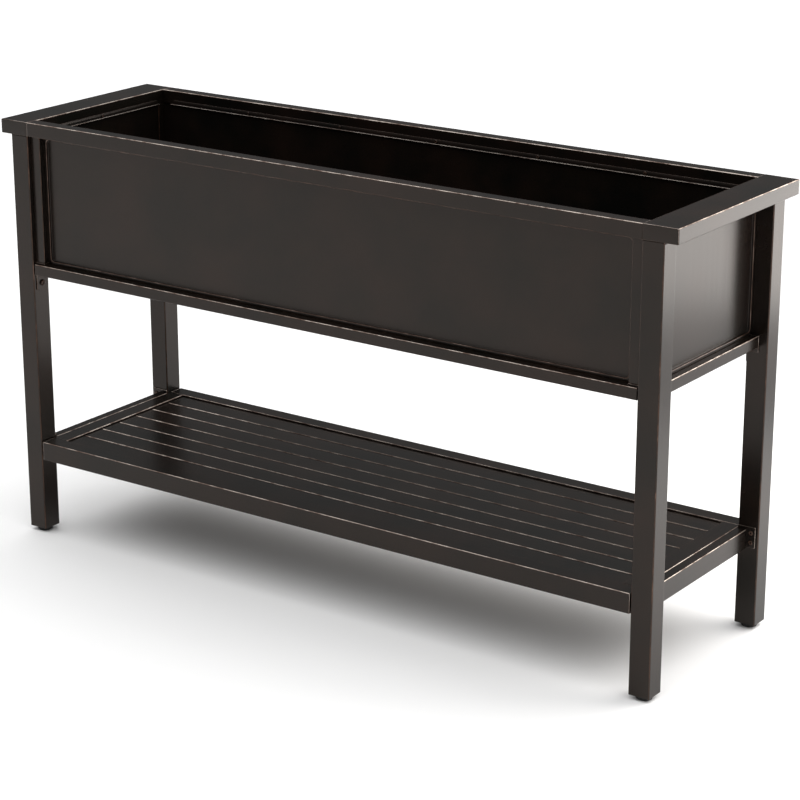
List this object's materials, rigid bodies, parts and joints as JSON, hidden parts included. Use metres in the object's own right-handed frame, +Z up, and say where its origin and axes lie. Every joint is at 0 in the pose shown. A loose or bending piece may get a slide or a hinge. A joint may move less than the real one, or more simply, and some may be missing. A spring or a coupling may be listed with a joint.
{
  "type": "raised planter",
  "caption": "Raised metal planter: a long rectangular trough on square legs with screw-in levelling feet, over a slatted lower shelf.",
  "frame": {"origin": "on the floor under the middle of the planter", "axes": "+X along the length, +Y from the front to the back, +Z up"},
  "size_m": [1.364, 0.392, 0.772],
  "materials": {
    "bronze_powder_coat": "semi-gloss dark bronze powder coat with brushed copper edges",
    "fastener_steel": "dark bronze painted steel",
    "foot_rubber": "matte black",
    "plug_plastic": "matte black"
  },
  "bodies": {
    "frame": {"back_panel": "bronze_powder_coat", "end_board_caps": "bronze_powder_coat", "end_board_left": "bronze_powder_coat", "end_board_right": "bronze_powder_coat", "floor_bar_1": "bronze_powder_coat", "floor_bar_2": "bronze_powder_coat", "floor_bar_3": "bronze_powder_coat", "front_panel": "bronze_powder_coat", "left_panel": "bronze_powder_coat", "leg_back_left": "bronze_powder_coat", "leg_back_right": "bronze_powder_coat", "leg_front_left": "bronze_powder_coat", "leg_front_right": "bronze_powder_coat", "leg_plug_back_left": "plug_plastic", "leg_plug_back_right": "plug_plastic", "leg_plug_front_left": "plug_plastic", "leg_plug_front_right": "plug_plastic", "lip_screws": "fastener_steel", "long_rail_plates": "bronze_powder_coat", "lower_rail_back": "bronze_powder_coat", "lower_rail_front": "bronze_powder_coat", "lower_rail_left": "bronze_powder_coat", "lower_rail_right": "bronze_powder_coat", "rail_bolts": "fastener_steel", "right_panel": "bronze_powder_coat", "shelf_bar_1": "bronze_powder_coat", "shelf_bar_2": "bronze_powder_coat", "shelf_bar_3": "bronze_powder_coat", "shelf_board_left": "bronze_powder_coat", "shelf_board_right": "bronze_powder_coat", "shelf_plates": "bronze_powder_coat", "shelf_rail_back": "bronze_powder_coat", "shelf_rail_caps": "bronze_powder_coat", "shelf_rail_front": "bronze_powder_coat", "shelf_rail_left": "bronze_powder_coat", "shelf_rail_right": "bronze_powder_coat", "shelf_screws": "fastener_steel", "short_rail_plates": "bronze_powder_coat", "slat_1": "bronze_powder_coat", "slat_2": "bronze_powder_coat", "slat_3": "bronze_powder_coat", "slat_4": "bronze_powder_coat", "slat_5": "bronze_powder_coat", "slat_6": "bronze_powder_coat", "slat_7": "bronze_powder_coat", "stile_back_left": "bronze_powder_coat", "stile_back_right": "bronze_powder_coat", "stile_front_left": "bronze_powder_coat", "stile_front_right": "bronze_powder_coat", "stile_shoes": "bronze_powder_coat", "top_rail_back": "bronze_powder_coat", "top_rail_front": "bronze_powder_coat", "trough_floor": "bronze_powder_coat"},
    "foot_back_left": {"foot_back_left": "foot_rubber"},
    "foot_back_right": {"foot_back_right": "foot_rubber"},
    "foot_front_left": {"foot_front_left": "foot_rubber"},
    "foot_front_right": {"foot_front_right": "foot_rubber"}
  },
  "joints": [
    {"name": "foot_back_left_height", "type": "slide", "parent": "frame", "child": "foot_back_left", "axis": [0, 0, -1], "range_m": [0, 0.012]},
    {"name": "foot_back_right_height", "type": "slide", "parent": "frame", "child": "foot_back_right", "axis": [0, 0, -1], "range_m": [0, 0.012]},
    {"name": "foot_front_left_height", "type": "slide", "parent": "frame", "child": "foot_front_left", "axis": [0, 0, -1], "range_m": [0, 0.012]},
    {"name": "foot_front_right_height", "type": "slide", "parent": "frame", "child": "foot_front_right", "axis": [0, 0, -1], "range_m": [0, 0.012]}
  ]
}
